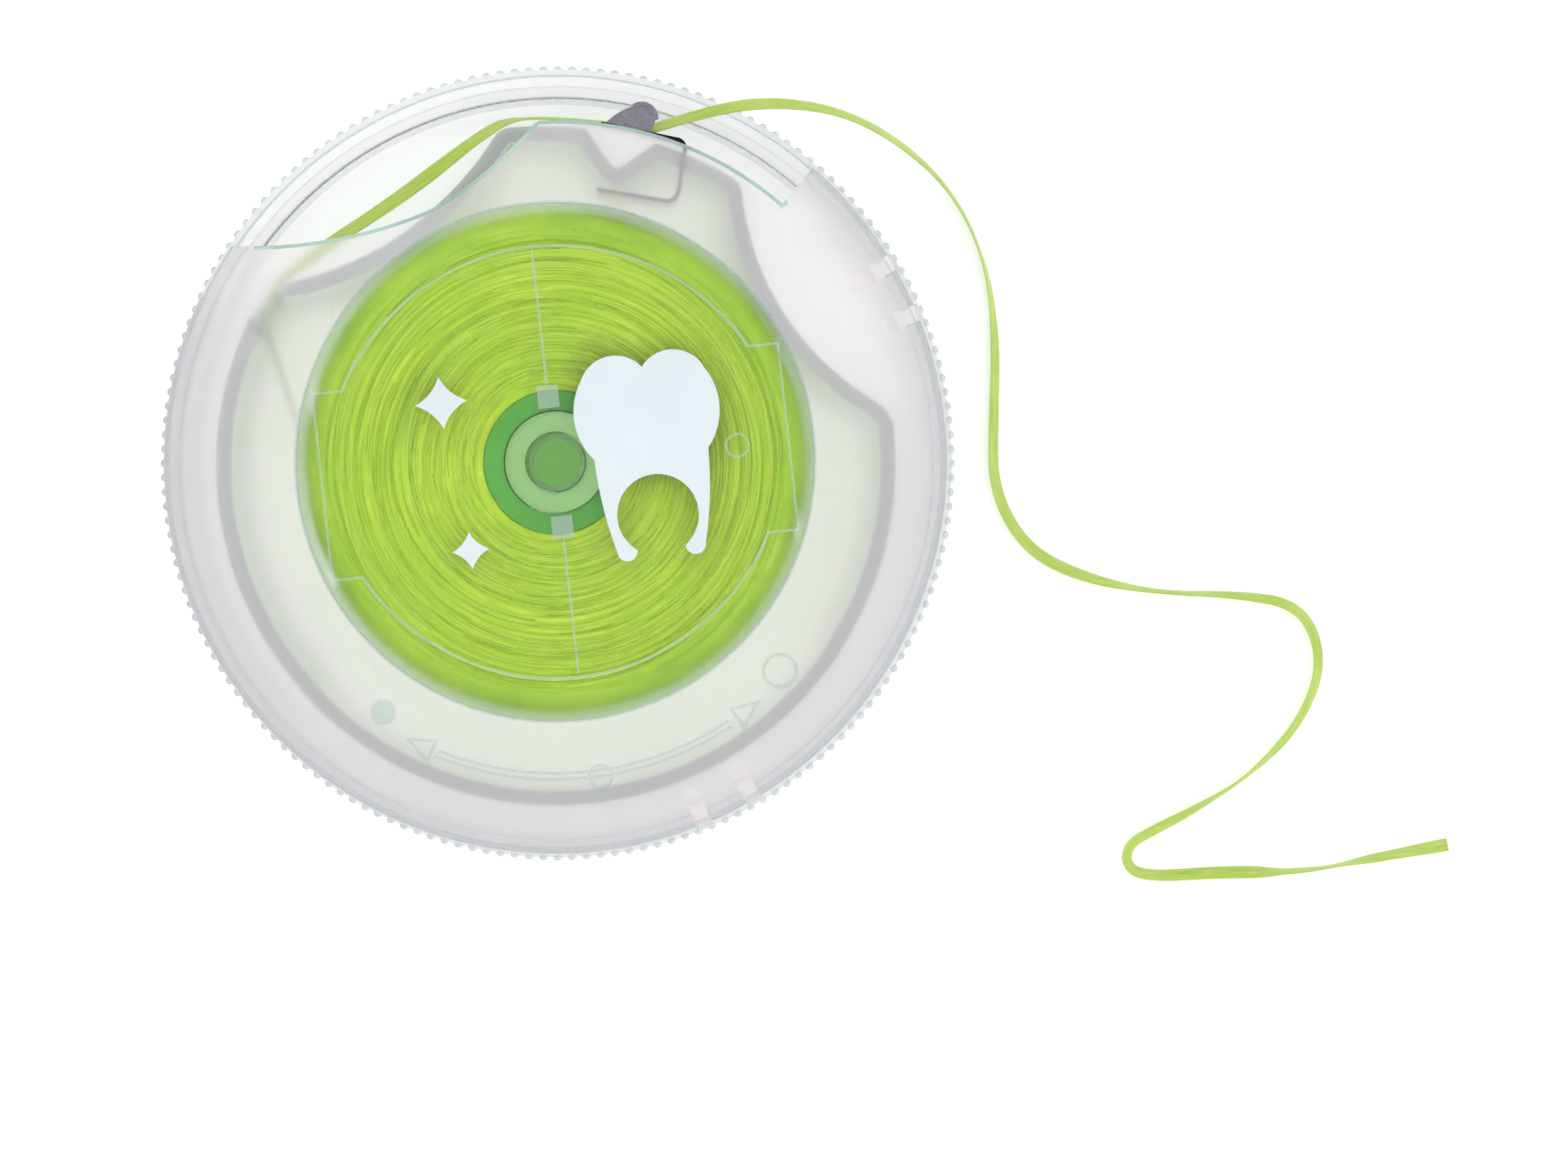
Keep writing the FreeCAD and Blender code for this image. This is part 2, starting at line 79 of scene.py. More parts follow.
def lightScene(setup):
    world = bpy.data.worlds.new("paleStudio")
    world.use_nodes = True
    sky = world.node_tree.nodes["Background"]
    sky.inputs["Color"].default_value = setup["skyColour"]
    sky.inputs["Strength"].default_value = setup["skyStrength"]
    bpy.context.scene.world = world
    lamp = bpy.data.lights.new("softBox", "AREA")
    lamp.shape = "SQUARE"
    lamp.size = setup["keySize"]
    lamp.energy = setup["keyPower"]
    box = bpy.data.objects.new("softBox", lamp)
    box.location = setup["keyAt"]
    box.rotation_euler = (-Vector(setup["keyAt"])).to_track_quat("-Z", "Y").to_euler()
    bpy.context.collection.objects.link(box)


lightScene(lighting)
bpy.context.scene.view_settings.view_transform = "Standard"
rays = bpy.context.scene.cycles      # light crosses many clear walls before it reaches the floor
rays.max_bounces, rays.transmission_bounces, rays.diffuse_bounces = 40, 40, 8
rays.blur_glossy = 0      # keeps polished plastic sharp for light that has already bounced


def keep(mesh, name, *materials):
    obj = bpy.data.objects.new(name, mesh)
    bpy.context.collection.objects.link(obj)
    for material in materials:
        mesh.materials.append(material)
    return obj


# welds the loose triangles of a node into one smooth mesh with sharp corners
def smoothCopy(node, name, material, angle=30, merge=2e-6):
    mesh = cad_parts[node].data.copy()
    mesh.name = name
    mesh.materials.clear()
    work = bmesh.new()
    work.from_mesh(mesh)
    bmesh.ops.remove_doubles(work, verts=work.verts, dist=merge)
    for edge in work.edges:
        sharp = len(edge.link_faces) != 2 or edge.calc_face_angle(0) > math.radians(angle)
        edge.smooth = not sharp
    for face in work.faces:
        face.smooth = True
        face.material_index = 0
    work.to_mesh(mesh)
    work.free()
    if "custom_normal" in mesh.attributes:
        mesh.attributes.remove(mesh.attributes["custom_normal"])
    return keep(mesh, name, material)


def newMaterial(name):
    material = bpy.data.materials.new(name)
    material.use_nodes = True
    nodes = material.node_tree.nodes
    return material, nodes, material.node_tree.links, nodes["Principled BSDF"]


def addNode(nodes, kind, **settings):
    node = nodes.new(kind)
    for key, value in settings.items():
        if key in node.bl_rna.properties:
            setattr(node, key, value)
        else:
            node.inputs[key].default_value = value
    return node


def mathNode(nodes, links, operation, first, second=None, third=None):
    node = nodes.new("ShaderNodeMath")
    node.operation = operation
    for slot, value in enumerate((first, second, third)):
        if value is None:
            continue
        if isinstance(value, (int, float)):
            node.inputs[slot].default_value = value
        else:
            links.new(value, node.inputs[slot])
    return node.outputs[0]


def rampNode(nodes, links, source, stops):
    node = nodes.new("ShaderNodeValToRGB")
    elements = node.color_ramp.elements
    while len(elements) > 1:
        elements.remove(elements[-1])
    elements[0].position, elements[0].color = stops[0]
    for position, colour in stops[1:]:
        elements.new(position).color = colour
    links.new(source, node.inputs["Fac"])
    return node.outputs["Color"]


def rangeNode(nodes, links, source, low, high, newLow, newHigh):
    node = nodes.new("ShaderNodeMapRange")
    node.inputs["From Min"].default_value = low
    node.inputs["From Max"].default_value = high
    node.inputs["To Min"].default_value = newLow
    node.inputs["To Max"].default_value = newHigh
    links.new(source, node.inputs["Value"])
    return node.outputs["Result"]


# coordinates about the turning axis: radius, and a vector that runs without a seam
def makeRingCoordinates():
    group = bpy.data.node_groups.new("ringCoordinates", "ShaderNodeTree")
    group.interface.new_socket("Radius", in_out="OUTPUT", socket_type="NodeSocketFloat")
    group.interface.new_socket("Ring Vector", in_out="OUTPUT", socket_type="NodeSocketVector")
    group.interface.new_socket("Turns Per Metre", in_out="INPUT", socket_type="NodeSocketFloat")
    group.interface.new_socket("Around", in_out="INPUT", socket_type="NodeSocketFloat")
    nodes, links = group.nodes, group.links
    inside = nodes.new("NodeGroupInput")
    result = nodes.new("NodeGroupOutput")
    place = nodes.new("ShaderNodeTexCoord")
    split = nodes.new("ShaderNodeSeparateXYZ")
    links.new(place.outputs["Object"], split.inputs[0])
    squareX = mathNode(nodes, links, "MULTIPLY", split.outputs["X"], split.outputs["X"])
    squareY = mathNode(nodes, links, "MULTIPLY", split.outputs["Y"], split.outputs["Y"])
    radius = mathNode(nodes, links, "SQRT", mathNode(nodes, links, "ADD", squareX, squareY))
    safe = mathNode(nodes, links, "MAXIMUM", radius, 1e-6)
    join = nodes.new("ShaderNodeCombineXYZ")
    for axis in ("X", "Y"):
        part = mathNode(nodes, links, "DIVIDE", split.outputs[axis], safe)
        links.new(mathNode(nodes, links, "MULTIPLY", part, inside.outputs["Around"]), join.inputs[axis])
    depth = mathNode(nodes, links, "ADD", radius, split.outputs["Z"])
    links.new(mathNode(nodes, links, "MULTIPLY", depth, inside.outputs["Turns Per Metre"]), join.inputs["Z"])
    links.new(radius, result.inputs["Radius"])
    links.new(join.outputs[0], result.inputs["Ring Vector"])
    return group


ringCoordinates = makeRingCoordinates()


# fine grain of a moulded skin, and a broad cloud that varies its tone and roughness
def makeMouldedGrain():
    group = bpy.data.node_groups.new("mouldedGrain", "ShaderNodeTree")
    group.interface.new_socket("Height", in_out="OUTPUT", socket_type="NodeSocketFloat")
    group.interface.new_socket("Cloud", in_out="OUTPUT", socket_type="NodeSocketFloat")
    group.interface.new_socket("Grain Scale", in_out="INPUT", socket_type="NodeSocketFloat")
    nodes, links = group.nodes, group.links
    inside = nodes.new("NodeGroupInput")
    result = nodes.new("NodeGroupOutput")
    place = nodes.new("ShaderNodeTexCoord")
    fine = addNode(nodes, "ShaderNodeTexNoise", Detail=3.0, Roughness=0.6)
    links.new(place.outputs["Object"], fine.inputs["Vector"])
    links.new(inside.outputs["Grain Scale"], fine.inputs["Scale"])
    broad = addNode(nodes, "ShaderNodeTexNoise", Scale=160.0, Detail=2.0)
    links.new(place.outputs["Object"], broad.inputs["Vector"])
    links.new(fine.outputs["Fac"], result.inputs["Height"])
    links.new(broad.outputs["Fac"], result.inputs["Cloud"])
    return group


mouldedGrain = makeMouldedGrain()


def useGroup(nodes, group, **settings):
    node = nodes.new("ShaderNodeGroup")
    node.node_tree = group
    for key, value in settings.items():
        node.inputs[key.replace("_", " ")].default_value = value
    return node


# clear moulded plastic: clear is its roughness inside the panel radius, and frost outside it
def frostedPlastic(name, tint, frost, milk, bump, ior=1.4, clear=None, panel=0.0, inner=None):
    fade = 1.2 * mm
    clear = frost if clear is None else clear
    material, nodes, links, shader = newMaterial(name)
    shader.inputs["IOR"].default_value = ior
    shader.inputs["Transmission Weight"].default_value = 1.0 - milk
    grain = useGroup(nodes, mouldedGrain, Grain_Scale=5200.0)
    ring = useGroup(nodes, ringCoordinates)
    frosting = rangeNode(nodes, links, ring.outputs["Radius"], panel, panel + fade, clear, frost)
    cloud = rangeNode(nodes, links, grain.outputs["Cloud"], 0.3, 0.7, 0.93, 1.07)
    links.new(mathNode(nodes, links, "MULTIPLY", frosting, cloud), shader.inputs["Roughness"])
    colour = rampNode(
        nodes, links, grain.outputs["Cloud"],
        [(0.3, (*[c * 0.985 for c in tint], 1)), (0.7, (*tint, 1))],
    )
    if inner:
        near = mathNode(nodes, links, "LESS_THAN", ring.outputs["Radius"], inner["within"])
        blend = addNode(nodes, "ShaderNodeMix", data_type="RGBA")
        links.new(near, blend.inputs["Factor"])
        # inputs 6 and 7 are the node's two colours, and output 2 is the blended one
        links.new(colour, blend.inputs[6])
        blend.inputs[7].default_value = (*inner["tint"], 1)
        colour = blend.outputs[2]
    links.new(colour, shader.inputs["Base Color"])
    relief = addNode(nodes, "ShaderNodeBump", Strength=bump, Distance=0.00004)
    links.new(grain.outputs["Height"], relief.inputs["Height"])
    links.new(relief.outputs["Normal"], shader.inputs["Normal"])
    return material


# tint, how rough the skin is, how much of it is milky, and the depth of its grain
plastics = {
    "clearBase": {"tint": (1.0, 0.995, 1.0), "frost": 0.1, "milk": 0.0, "bump": 0.1},
    "clearInsert": {"tint": (0.89, 0.95, 0.93), "frost": 0.25, "milk": 0.45, "bump": 0.15},
    "clearCover": {
        "tint": (0.92, 0.96, 0.985), "frost": 0.42, "milk": 0.0, "bump": 0.08, "ior": 1.3,
        "clear": 0.04, "panel": 16.6 * mm,
        "inner": {"within": 16.5 * mm, "tint": (1.0, 0.995, 0.99)},
    },
    "milkyAnnulus": {"tint": (1.0, 0.945, 0.955), "frost": 0.15, "milk": 0.22, "bump": 0.14},
    # painted light: green painted on the clear hub and pin, standing in for the spool core's green seen
    # through them
    "paintedCoreLight": {"tint": (0.36, 0.74, 0.22), "frost": 0.25, "milk": 0.2, "bump": 0.1},
    # grey painted shade for the edges of the clear raised and engraved marks
    "markEdgeShade": {"tint": (0.66, 0.73, 0.75), "frost": 0.2, "milk": 0.35, "bump": 0.1},
    # painted shade: the darker grey stands in for the shade of the thick clear skirt seen end-on, and the
    # dark blue inside 28.26 mm is a painted shade line along its inner edge
    "skirtShade": {
        "tint": (0.68, 0.74, 0.75), "frost": 0.2, "milk": 0.2, "bump": 0.1,
        "inner": {"within": 28.26 * mm, "tint": (0.46, 0.50, 0.62)},
    },
    "knurlBand": {"tint": (0.86, 0.90, 0.91), "frost": 0.2, "milk": 0.3, "bump": 0.1},
    # darker blue-green painted shade for the bevelled edge of the window mouth
    "windowEdgeShade": {"tint": (0.50, 0.72, 0.70), "frost": 0.15, "milk": 0.35, "bump": 0.1},
}
plastic = {name: frostedPlastic(name, **kind) for name, kind in plastics.items()}

# where each finish begins and ends, from the turning axis and from the table
finishes = {
    "hubReach": 3.85 * mm,
    "pinReach": 2.25 * mm,
    "knurlReach": 29.2 * mm,
    "annulusReach": 19.3 * mm,
    "skirtReach": 28.1 * mm,
    "skirtTop": 14.5 * mm,
    "plateBottom": 13.85 * mm,
    "annulusBottom": 14.0 * mm,
    "markBottom": 14.85 * mm,
    "markTop": 15.03 * mm,
    "markReach": 28.3 * mm,
    "plateTop": 14.999 * mm,
    "bevelReach": 28.4 * mm,
    "bevel": 0.28 * mm,
}


def reachOf(point):
    return math.hypot(point.x, point.y)


def addSlot(obj, material):
    obj.data.materials.append(material)
    return len(obj.data.materials) - 1


def paintFaces(obj, material, test):
    slot = addSlot(obj, material)
    for face in obj.data.polygons:
        if all(test(obj.data.vertices[i].co) for i in face.vertices):
            face.material_index = slot


# painted shade on the raised and engraved marks on the front, picked by height and slope: the grey stands in
# for the shade their clear edges show
def paintMarkShade(obj, material, limits):
    slot = addSlot(obj, material)
    for face in obj.data.polygons:
        raised = min(obj.data.vertices[i].co.z for i in face.vertices) > limits["markTop"]
        slope = abs(face.normal.z) < 0.95 and face.center.z > limits["markBottom"]
        if (raised or slope) and reachOf(face.center) < limits["markReach"]:
            face.material_index = slot


# a small bevel along the upper edge of the mouth, short of the rounded rim, with its faces given a darker
# blue-green as painted shade on that edge
def bevelWindow(obj, material, limits):
    slot = addSlot(obj, material)
    work = bmesh.new()
    work.from_mesh(obj.data)
    edges = []
    for edge in work.edges:
        if len(edge.link_faces) != 2 or min(v.co.z for v in edge.verts) < limits["plateTop"]:
            continue
        up, side = sorted(edge.link_faces, key=lambda face: -face.normal.z)
        deep = min(v.co.z for v in side.verts) < limits["annulusBottom"]
        inside = max(reachOf(v.co) for v in edge.verts) < limits["bevelReach"]
        if up.normal.z > 0.99 and abs(side.normal.z) < 0.05 and deep and inside:
            edges.append(edge)
    made = bmesh.ops.bevel(work, geom=edges, offset=limits["bevel"], segments=1, affect="EDGES")
    for face in made["faces"]:
        face.material_index = slot
    work.to_mesh(obj.data)
    work.free()
    print("window edges bevelled:", len(edges))


baseBody = smoothCopy("base_shell", "rimFloorAndHub", plastic["clearBase"])
# the clear hub gets the painted green of the core seen through it
paintFaces(baseBody, plastic["paintedCoreLight"], lambda p: reachOf(p) < finishes["hubReach"])
paintFaces(baseBody, plastic["knurlBand"], lambda p: reachOf(p) > finishes["knurlReach"])
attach(baseBody, "base")
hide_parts("base_shell")

wallBody = smoothCopy("chamber_insert", "innerWall", plastic["clearInsert"])
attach(wallBody, "base")
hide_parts("chamber_insert")


def onAnnulus(p):
    return reachOf(p) > finishes["annulusReach"] and p.z > finishes["annulusBottom"]


def onPin(p):
    return reachOf(p) < finishes["pinReach"] and p.z < finishes["plateBottom"]


def onSkirt(p):
    return reachOf(p) > finishes["skirtReach"] and p.z < finishes["skirtTop"]


coverBody = smoothCopy("front_cover", "turningCover", plastic["clearCover"])
paintFaces(coverBody, plastic["milkyAnnulus"], onAnnulus)
# the clear pin gets the painted green of the core seen through it
paintFaces(coverBody, plastic["paintedCoreLight"], onPin)
# the skirt gets a darker grey painted shade and a dark-blue painted shade line along its inner edge
paintFaces(coverBody, plastic["skirtShade"], onSkirt)
# the clear marks get a grey painted shade
paintMarkShade(coverBody, plastic["markEdgeShade"], finishes)
bevelWindow(coverBody, plastic["windowEdgeShade"], finishes)
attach(coverBody, "cover")
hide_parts("front_cover")
print("frosted plastic done")


def printedInk():
    material, nodes, links, shader = newMaterial("printedInk")
    grain = useGroup(nodes, mouldedGrain, Grain_Scale=4200.0)
    colour = rampNode(
        nodes, links, grain.outputs["Cloud"],
        [(0.3, (0.70, 0.79, 0.82, 1)), (0.7, (0.74, 0.83, 0.86, 1))],
    )
    links.new(colour, shader.inputs["Base Color"])
    gloss = rangeNode(nodes, links, grain.outputs["Height"], 0.2, 0.8, 0.42, 0.55)
    links.new(gloss, shader.inputs["Roughness"])
    relief = addNode(nodes, "ShaderNodeBump", Strength=0.1, Distance=0.00002)
    links.new(grain.outputs["Height"], relief.inputs["Height"])
    links.new(relief.outputs["Normal"], shader.inputs["Normal"])
    return material


printFilm = smoothCopy("cover_print", "pictogramFilm", printedInk())
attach(printFilm, "cover")
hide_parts("cover_print")


def cutterSteel(name, dark, light):
    material, nodes, links, shader = newMaterial(name)
    shader.inputs["Metallic"].default_value = 1.0
    place = nodes.new("ShaderNodeTexCoord")
    lay = addNode(nodes, "ShaderNodeMapping", Scale=(1.0, 9.0, 1.0))
    links.new(place.outputs["Object"], lay.inputs["Vector"])
    lines = addNode(nodes, "ShaderNodeTexNoise", Scale=2600.0, Detail=4.0, Roughness=0.7)
    links.new(lay.outputs[0], lines.inputs["Vector"])
    colour = rampNode(
        nodes, links, lines.outputs["Fac"],
        [(0.35, (*dark, 1)), (0.65, (*light, 1))],
    )
    links.new(colour, shader.inputs["Base Color"])
    gloss = rangeNode(nodes, links, lines.outputs["Fac"], 0.3, 0.7, 0.12, 0.24)
    links.new(gloss, shader.inputs["Roughness"])
    relief = addNode(nodes, "ShaderNodeBump", Strength=0.3, Distance=0.00002)
    links.new(lines.outputs["Fac"], relief.inputs["Height"])
    links.new(relief.outputs["Normal"], shader.inputs["Normal"])
    return material


cutter = {
    "strip": ((0.16, 0.15, 0.18), (0.34, 0.32, 0.36)),
    "hook": ((0.006, 0.004, 0.006), (0.03, 0.022, 0.03)),
    "hookFrom": (23.2 * mm, 12.0 * mm),      # how far out and how high the dark hook begins
}
hookOut, hookUp = cutter["hookFrom"]
clipBody = smoothCopy("cutter_clip", "cutterStrip", cutterSteel("cutterSteel", *cutter["strip"]))
paintFaces(clipBody, cutterSteel("hookSteel", *cutter["hook"]), lambda p: p.y > hookOut and p.z > hookUp)
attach(clipBody, "base")
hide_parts("cutter_clip")
print("print and cutter done")


def spoolPlastic():
    material, nodes, links, shader = newMaterial("spoolPlastic")
    shader.inputs["Subsurface Weight"].default_value = 0.2
    shader.inputs["Subsurface Radius"].default_value = (0.001, 0.002, 0.0006)
    shader.inputs["Subsurface Scale"].default_value = 1.0
    grain = useGroup(nodes, mouldedGrain, Grain_Scale=3000.0)
    colour = rampNode(
        nodes, links, grain.outputs["Cloud"],
        [(0.3, (0.055, 0.36, 0.02, 1)), (0.7, (0.08, 0.42, 0.035, 1))],
    )
    links.new(colour, shader.inputs["Base Color"])
    gloss = rangeNode(nodes, links, grain.outputs["Height"], 0.2, 0.8, 0.3, 0.42)
    links.new(gloss, shader.inputs["Roughness"])
    return material


coreBody = smoothCopy("spool_core", "spoolRing", spoolPlastic())
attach(coreBody, "spool")
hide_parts("spool_core")


winding = {
    "inner": 5.38 * mm,
    "outer": 18.7 * mm,
    "bottom": 2.32 * mm,
    "top": 12.95 * mm,
    "corner": 1.3 * mm,
    "ridge": 0.035 * mm,
    "sway": 0.22 * mm,
    "seed": 4,
    "around": 288,
    "across": 96,
    "footSteps": 6,
    "wallSteps": 16,
    "shoulderSteps": 8,
}


# (radius, height) points out along the foot, up the outside, over the shoulder and in across the face
def windingProfile(setup):
    inner, outer, low, high, corner = (setup[k] for k in ("inner", "outer", "bottom", "top", "corner"))
    foot, wall, shoulder, across = (
        setup[k] for k in ("footSteps", "wallSteps", "shoulderSteps", "across")
    )
    turn = outer - corner
    line = [(inner, low), (turn, low)]
    for i in range(1, foot + 1):
        angle = math.radians(90 * i / foot)
        line.append((turn + corner * math.sin(angle), low + corner - corner * math.cos(angle)))
    line += [(outer, low + corner + (high - low - 2 * corner) * i / wall) for i in range(1, wall)]
    for i in range(shoulder + 1):
        angle = math.radians(90 * i / shoulder)
        line.append((turn + corner * math.cos(angle), high - corner + corner * math.sin(angle)))
    line += [(turn - (turn - inner) * i / across, high) for i in range(1, across + 1)]
    return line


def windingMesh(setup):
    profile = windingProfile(setup)
    count = setup["around"]
    rows = []
    rng = random.Random(setup["seed"])
    waves = [(rng.randint(1, 5), rng.uniform(0, 6.28), rng.uniform(0.3, 1)) for _ in range(6)]
    ridges = [(rng.uniform(5200, 16000), rng.uniform(0, 6.28)) for _ in range(5)]
    work = bmesh.new()
    for radius, height in profile:
        row = []
        for i in range(count):
            angle = 2 * math.pi * i / count
            sway = sum(setup["sway"] * k * math.sin(n * angle + p) for n, p, k in waves)
            along = radius + height + sway
            lift = sum(math.sin(f * along + p) for f, p in ridges) * setup["ridge"] / 3
            grow = 1 if radius > setup["inner"] + 1e-6 else 0
            top = height >= setup["top"] - 1e-6
            out = radius + (0 if top else lift * grow)
            up = height + (lift * grow if top else 0)
            row.append(work.verts.new((out * math.cos(angle), out * math.sin(angle), up)))
        rows.append(row)
    rows.append(rows[0])
    for lower, upper in zip(rows, rows[1:]):
        for i in range(count):
            j = (i + 1) % count
            work.faces.new((lower[i], lower[j], upper[j], upper[i]))
    bmesh.ops.recalc_face_normals(work, faces=work.faces)
    for face in work.faces:
        face.smooth = True
    mesh = bpy.data.meshes.new("woundFloss")
    work.to_mesh(mesh)
    work.free()
    return mesh


def woundFlossMaterial():
    material, nodes, links, shader = newMaterial("woundFlossGreen")
    ring = useGroup(nodes, ringCoordinates, Turns_Per_Metre=2600.0, Around=4.5)
    warp = addNode(nodes, "ShaderNodeTexNoise", Scale=140.0, Detail=2.0)
    place = nodes.new("ShaderNodeTexCoord")
    links.new(place.outputs["Object"], warp.inputs["Vector"])
    shift = addNode(nodes, "ShaderNodeVectorMath", operation="MULTIPLY_ADD")
    links.new(warp.outputs["Color"], shift.inputs[0])
    shift.inputs[1].default_value = (0.5, 0.5, 2.2)
    links.new(ring.outputs["Ring Vector"], shift.inputs[2])
    fibres = addNode(nodes, "ShaderNodeTexNoise", Scale=1.0, Detail=5.0, Roughness=0.62)
    links.new(shift.outputs[0], fibres.inputs["Vector"])
    blotch = addNode(nodes, "ShaderNodeTexNoise", Scale=110.0, Detail=1.5)
    links.new(place.outputs["Object"], blotch.inputs["Vector"])
    blend = mathNode(nodes, links, "MULTIPLY_ADD", blotch.outputs["Fac"], 0.35, fibres.outputs["Fac"])
    colour = rampNode(
        nodes, links, blend,
        [
            (0.42, (0.31, 0.55, 0.006, 1)),
            (0.62, (0.42, 0.66, 0.010, 1)),
            (0.8, (0.50, 0.73, 0.020, 1)),
            (0.95, (0.70, 0.84, 0.12, 1)),
        ],
    )
    links.new(colour, shader.inputs["Base Color"])
    gloss = rangeNode(nodes, links, fibres.outputs["Fac"], 0.3, 0.7, 0.42, 0.6)
    links.new(gloss, shader.inputs["Roughness"])
    relief = addNode(nodes, "ShaderNodeBump", Strength=0.5, Distance=0.00012)
    links.new(fibres.outputs["Fac"], relief.inputs["Height"])
    links.new(relief.outputs["Normal"], shader.inputs["Normal"])
    return material


flossOnSpool = woundFlossMaterial()
woundBody = keep(windingMesh(winding), "woundFloss", flossOnSpool)
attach(woundBody, "spool")
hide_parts("floss_winding")

strayStrands = {
    "Count": 420,
    "Smallest Radius": 6.2 * mm,
    "Largest Radius": 17.0 * mm,
    "Thickness": 0.035 * mm,
    "Off Centre": 0.45 * mm,
    "Face Height": 12.96 * mm,
    "Seed": 7,
}
strandShape = {"arcPoints": 26, "sweep": math.radians(115), "sides": 5}


def strandMaterial():
    material, nodes, links, shader = newMaterial("looseStrandGreen")
    tone = addNode(nodes, "ShaderNodeAttribute", attribute_name="strandTone")
    place = nodes.new("ShaderNodeTexCoord")
    fleck = addNode(nodes, "ShaderNodeTexNoise", Scale=900.0, Detail=2.0)
    links.new(place.outputs["Object"], fleck.inputs["Vector"])
    mixed = mathNode(nodes, links, "MULTIPLY_ADD", fleck.outputs["Fac"], 0.25, tone.outputs["Fac"])
    colour = rampNode(
        nodes, links, mixed,
        [
            (0.1, (0.30, 0.52, 0.006, 1)),
            (0.5, (0.44, 0.66, 0.012, 1)),
            (0.9, (0.56, 0.76, 0.06, 1)),
            (1.0, (0.68, 0.82, 0.20, 1)),
        ],
    )
    links.new(colour, shader.inputs["Base Color"])
    shader.inputs["Roughness"].default_value = 0.45
    return material


def buildStrandTree(settings, shape, material):
    tree = bpy.data.node_groups.new("strayStrands", "GeometryNodeTree")
    face = tree.interface
    face.new_socket("Geometry", in_out="OUTPUT", socket_type="NodeSocketGeometry")
    identifiers = {}
    for name, value in settings.items():
        kind = "NodeSocketInt" if isinstance(value, int) else "NodeSocketFloat"
        identifiers[name] = face.new_socket(name, in_out="INPUT", socket_type=kind).identifier
    nodes, links = tree.nodes, tree.links
    start = nodes.new("NodeGroupInput").outputs
    result = nodes.new("NodeGroupOutput")

    def randomFloat(low, high, offset):
        node = nodes.new("FunctionNodeRandomValue")
        node.data_type = "FLOAT"
        for key, value in (("Min", low), ("Max", high)):
            socket = next(s for s in node.inputs if s.name == key and s.type == "VALUE")
            if isinstance(value, (int, float)):
                socket.default_value = value
            else:
                links.new(value, socket)
        links.new(mathNode(nodes, links, "ADD", start["Seed"], offset), node.inputs["Seed"])
        return next(s for s in node.outputs if s.type == "VALUE")

    points = nodes.new("GeometryNodePoints")
    links.new(start["Count"], points.inputs["Count"])
    arc = nodes.new("GeometryNodeCurveArc")
    arc.inputs["Resolution"].default_value = shape["arcPoints"]
    arc.inputs["Radius"].default_value = 1.0
    arc.inputs["Sweep Angle"].default_value = shape["sweep"]
    onPoints = nodes.new("GeometryNodeInstanceOnPoints")
    links.new(points.outputs[0], onPoints.inputs["Points"])
    links.new(arc.outputs["Curve"], onPoints.inputs["Instance"])
    spin = nodes.new("ShaderNodeCombineXYZ")
    links.new(randomFloat(0.0, 2 * math.pi, 1), spin.inputs["Z"])
    links.new(spin.outputs[0], onPoints.inputs["Rotation"])
    links.new(randomFloat(start["Smallest Radius"], start["Largest Radius"], 2), onPoints.inputs["Scale"])
    move = nodes.new("GeometryNodeTranslateInstances")
    shift = nodes.new("ShaderNodeCombineXYZ")
    negative = mathNode(nodes, links, "MULTIPLY", start["Off Centre"], -1.0)
    links.new(randomFloat(negative, start["Off Centre"], 3), shift.inputs["X"])
    links.new(randomFloat(negative, start["Off Centre"], 4), shift.inputs["Y"])
    lift = mathNode(nodes, links, "MULTIPLY", randomFloat(-0.5, 1.0, 5), start["Thickness"])
    links.new(mathNode(nodes, links, "ADD", start["Face Height"], lift), shift.inputs["Z"])
    links.new(onPoints.outputs[0], move.inputs["Instances"])
    links.new(shift.outputs[0], move.inputs["Translation"])
    move.inputs["Local Space"].default_value = False
    tone = nodes.new("GeometryNodeStoreNamedAttribute")
    tone.data_type = "FLOAT"
    tone.domain = "INSTANCE"
    tone.inputs["Name"].default_value = "strandTone"
    links.new(move.outputs[0], tone.inputs["Geometry"])
    links.new(randomFloat(0.0, 0.85, 6), tone.inputs["Value"])
    real = nodes.new("GeometryNodeRealizeInstances")
    links.new(tone.outputs[0], real.inputs[0])
    section = nodes.new("GeometryNodeCurvePrimitiveCircle")
    section.inputs["Resolution"].default_value = shape["sides"]
    links.new(start["Thickness"], section.inputs["Radius"])
    sweep = nodes.new("GeometryNodeCurveToMesh")
    sweep.inputs["Fill Caps"].default_value = True
    links.new(real.outputs[0], sweep.inputs["Curve"])
    links.new(section.outputs["Curve"], sweep.inputs["Profile Curve"])
    paint = nodes.new("GeometryNodeSetMaterial")
    paint.inputs["Material"].default_value = material
    links.new(sweep.outputs[0], paint.inputs["Geometry"])
    links.new(paint.outputs[0], result.inputs["Geometry"])
    return tree, identifiers


# runs a Geometry Nodes tree once and keeps its plain mesh
def growMesh(name, tree, identifiers, settings):
    seed = bpy.data.objects.new(name + "Seed", bpy.data.meshes.new(name + "Seed"))
    bpy.context.collection.objects.link(seed)
    modifier = seed.modifiers.new("nodes", "NODES")
    modifier.node_group = tree
    for key, value in settings.items():
        modifier[identifiers[key]] = value
    depsgraph = bpy.context.evaluated_depsgraph_get()
    mesh = bpy.data.meshes.new_from_object(seed.evaluated_get(depsgraph), depsgraph=depsgraph)
    mesh.name = name
    bpy.data.objects.remove(seed)
    for polygon in mesh.polygons:
        polygon.use_smooth = True
    return mesh


strandTree, strandInputs = buildStrandTree(strayStrands, strandShape, strandMaterial())
strandMesh = growMesh("strayStrands", strandTree, strandInputs, strayStrands)
strandsOnFace = keep(strandMesh, "strandsOnFace")
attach(strandsOnFace, "spool")
print("spool done", len(strandMesh.polygons))


